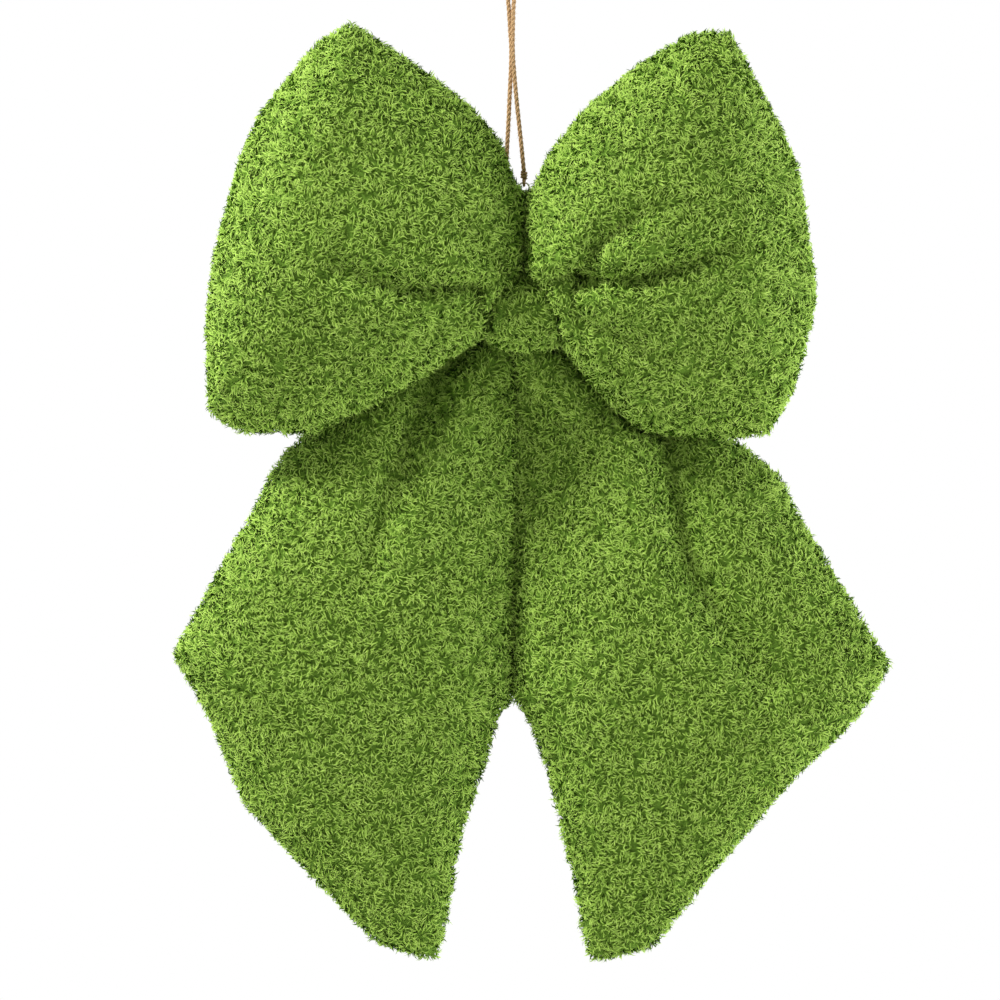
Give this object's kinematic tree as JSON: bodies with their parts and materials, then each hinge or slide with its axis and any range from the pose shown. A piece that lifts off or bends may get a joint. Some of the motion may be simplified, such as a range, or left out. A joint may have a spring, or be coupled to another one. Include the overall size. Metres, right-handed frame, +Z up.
{
  "type": "pre-made gift bow",
  "caption": "Stuffed plush gift bow with padded loops and tails round a padded knot, hung by a loop of twine through small metal rings.",
  "frame": {"origin": "inside top of the twine loop, where a hook bears", "axes": "+Z up, +X to the right of someone facing the bow, +Y away from them, so the bow's face looks along -Y"},
  "size_m": [0.3345, 0.0976, 0.469],
  "materials": {
    "plush": "curly chenille pile, matt",
    "filling": "white polyester fibre",
    "thread": "dark green polyester thread",
    "twine": "natural jute",
    "ring": "bright nickel plate"
  },
  "bodies": {
    "hanger": {"twine_hanger": "twine", "twine_knot_left": "twine", "twine_knot_right": "twine"},
    "ring_left": {"ring_left": "ring"},
    "ring_right": {"ring_right": "ring"},
    "bow": {"loop_left_front_panel": "plush", "loop_left_back_panel": "plush", "loop_right_front_panel": "plush", "loop_right_back_panel": "plush", "knot_wrap": "plush", "loop_left_filling": "filling", "loop_right_filling": "filling", "knot_filling": "filling", "gather_tie": "thread", "tail_stitching": "thread", "knot_closing_stitches": "thread", "ring_thread_left": "thread", "ring_thread_right": "thread"},
    "tail_left": {"tail_left_front_panel": "plush", "tail_left_back_panel": "plush", "tail_left_filling": "filling"},
    "tail_right": {"tail_right_front_panel": "plush", "tail_right_back_panel": "plush", "tail_right_filling": "filling"}
  },
  "joints": [
    {"name": "ring_left_swing", "type": "hinge", "parent": "hanger", "child": "ring_left", "pos_m": [-0.0023, 0, -0.10665], "axis": [1, 0, 0], "range_deg": [-10, 15]},
    {"name": "ring_right_swing", "type": "hinge", "parent": "hanger", "child": "ring_right", "pos_m": [0.006, 0, -0.10665], "axis": [1, 0, 0], "range_deg": [-10, 15]},
    {"name": "bow_swing", "type": "hinge", "parent": "ring_left", "child": "bow", "pos_m": [-0.0023, 0, -0.11135], "axis": [1, 0, 0], "range_deg": [-5, 20]},
    {"name": "tail_left_swing", "type": "hinge", "parent": "bow", "child": "tail_left", "pos_m": [-0.0085, 0.01571, -0.16952], "axis": [1, 0, 0], "range_deg": [-3, 20]},
    {"name": "tail_right_swing", "type": "hinge", "parent": "bow", "child": "tail_right", "pos_m": [0.0095, 0.01571, -0.16952], "axis": [1, 0, 0], "range_deg": [-3, 20]}
  ],
  "couplings": [
    {"joint": "ring_right_swing", "follows": "ring_left_swing", "ratio": 1}
  ]
}
